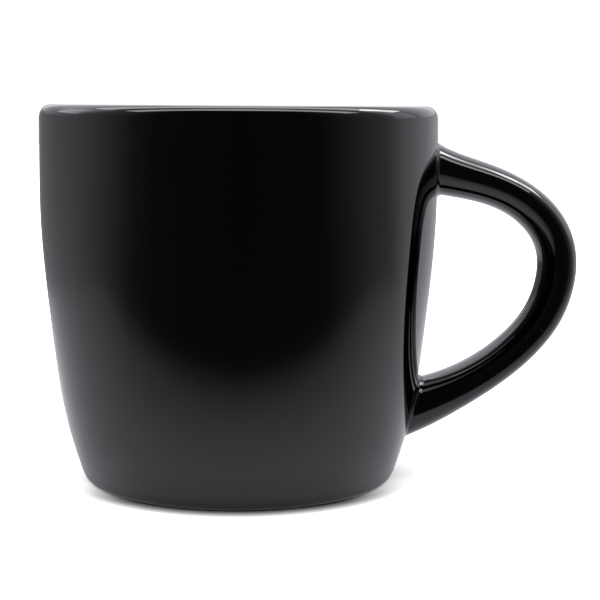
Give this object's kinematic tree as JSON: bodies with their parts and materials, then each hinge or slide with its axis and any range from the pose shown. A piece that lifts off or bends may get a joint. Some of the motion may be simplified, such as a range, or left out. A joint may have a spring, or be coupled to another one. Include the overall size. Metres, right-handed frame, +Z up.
{
  "type": "ceramic mug",
  "caption": "Ceramic drinking mug with a rounded lip, a body that tapers towards the foot, and an ear-shaped side handle, glazed in glossy black.",
  "frame": {"origin": "centre of the flat ring that the foot rests on, on the cup's axis", "axes": "+Z up along the cup's axis, towards the lip; +X from the axis towards the handle, which lies in the XZ plane"},
  "size_m": [0.1214, 0.089, 0.0841],
  "materials": {
    "stoneware_clay": "fired stoneware, matt and slightly gritty, seen only on the dry foot ring",
    "fired_slip": "fired slip, the same clay thinned with water, hidden under the glaze",
    "black_glaze": "glossy black glaze, smooth, with faint ripple"
  },
  "bodies": {
    "root": {"cup_body": "stoneware_clay", "handle": "stoneware_clay", "upper_slip_joint": "fired_slip", "lower_slip_joint": "fired_slip", "outer_glaze": "black_glaze", "liner_glaze": "black_glaze", "base_glaze": "black_glaze", "handle_glaze": "black_glaze"}
  },
  "joints": []
}
